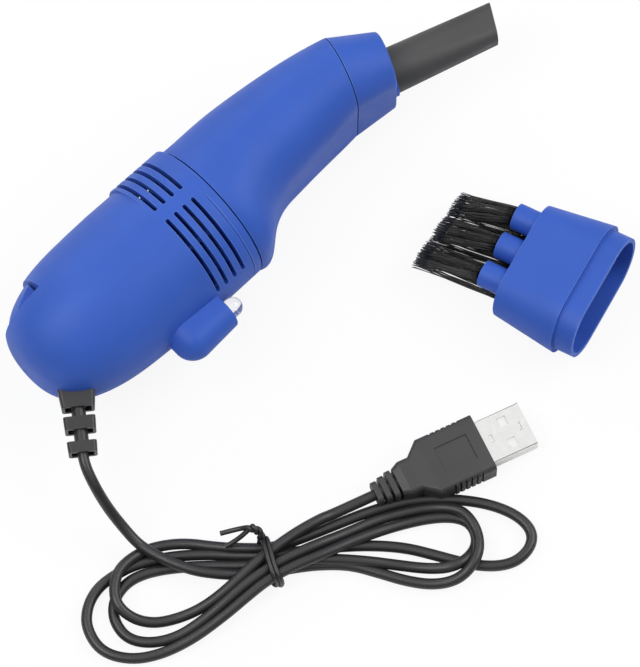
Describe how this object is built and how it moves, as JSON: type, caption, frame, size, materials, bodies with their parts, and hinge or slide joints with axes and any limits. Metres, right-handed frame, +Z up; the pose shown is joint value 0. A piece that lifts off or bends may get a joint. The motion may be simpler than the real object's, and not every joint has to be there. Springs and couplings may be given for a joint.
{
  "type": "keyboard vacuum cleaner",
  "caption": "Small corded desk vacuum for keyboards, with a pull-off dust shell, a rubber crevice nozzle, a lamp, a thumb switch, a spare brush head and a tied cord with a plug.",
  "frame": {"origin": "on the table under the middle of the vacuum and its brush head, without the cord", "axes": "+X along the vacuum from tail to nozzle, +Y towards its switch, +Z up from the table"},
  "size_m": [0.1891, 0.1469, 0.0393],
  "materials": {
    "blue_plastic": "satin",
    "grey_rubber": "matte",
    "black_plastic": "gloss",
    "black_rubber": "satin",
    "clear_lamp": "clear",
    "tinned_wire": "bright",
    "screw_steel": "bright",
    "magnet": "matte",
    "armature": "wound",
    "filter_cloth": "woven",
    "plug_metal": "bright",
    "white_plastic": "gloss",
    "contact_metal": "bright",
    "bristle": "gloss"
  },
  "bodies": {
    "housing": {"rear_shell_left": "blue_plastic", "rear_shell_right": "blue_plastic", "shell_screws": "screw_steel", "slide_switch": "black_plastic", "lamp_led": "clear_lamp", "lamp_leads": "tinned_wire", "motor_can": "screw_steel", "motor_end_cap": "black_plastic", "motor_magnets": "magnet", "fan_cover": "blue_plastic", "filter_frame": "blue_plastic", "filter_cloth": "filter_cloth", "cord_gland": "black_rubber", "cord_lead": "black_rubber", "cord_hank": "black_rubber", "cord_tie": "black_plastic", "plug_grip": "black_rubber", "plug_shell": "plug_metal", "plug_tongue": "white_plastic", "plug_contacts": "contact_metal"},
    "fan": {"motor_shaft": "screw_steel", "motor_armature": "armature", "impeller": "black_plastic"},
    "switch": {"power_slider": "blue_plastic"},
    "dust_shell": {"front_shell": "blue_plastic"},
    "nose": {"nozzle_collar": "blue_plastic"},
    "nozzle": {"crevice_nozzle": "grey_rubber"},
    "brush": {"brush_head": "blue_plastic", "bristle_tuft_1": "bristle", "bristle_tuft_2": "bristle", "bristle_tuft_3": "bristle", "bristle_tuft_4": "bristle", "bristle_tuft_5": "bristle", "bristle_tuft_6": "bristle"}
  },
  "joints": [
    {"name": "fan_spin", "type": "hinge", "parent": "housing", "child": "fan", "pos_m": [-0.036, 0.0344, 0.0196], "axis": [1, 0, 0], "continuous": true},
    {"name": "switch_slide", "type": "slide", "parent": "housing", "child": "switch", "axis": [-1, 0, 0], "range_m": [0, 0.0025]},
    {"name": "dust_shell_pull", "type": "slide", "parent": "housing", "child": "dust_shell", "axis": [1, 0, 0], "range_m": [0, 0.03]},
    {"name": "nose_pull", "type": "slide", "parent": "dust_shell", "child": "nose", "axis": [0.9563, -0.2924, 0], "range_m": [0, 0.012]},
    {"name": "nozzle_turn", "type": "hinge", "parent": "nose", "child": "nozzle", "pos_m": [0.0455, 0.0313, 0.0196], "axis": [0.9578, -0.2874, 0], "range_deg": [-90, 90]},
    {"name": "brush_lift", "type": "slide", "parent": "housing", "child": "brush", "axis": [0, 0, 1], "range_m": [0, 0.05]}
  ]
}
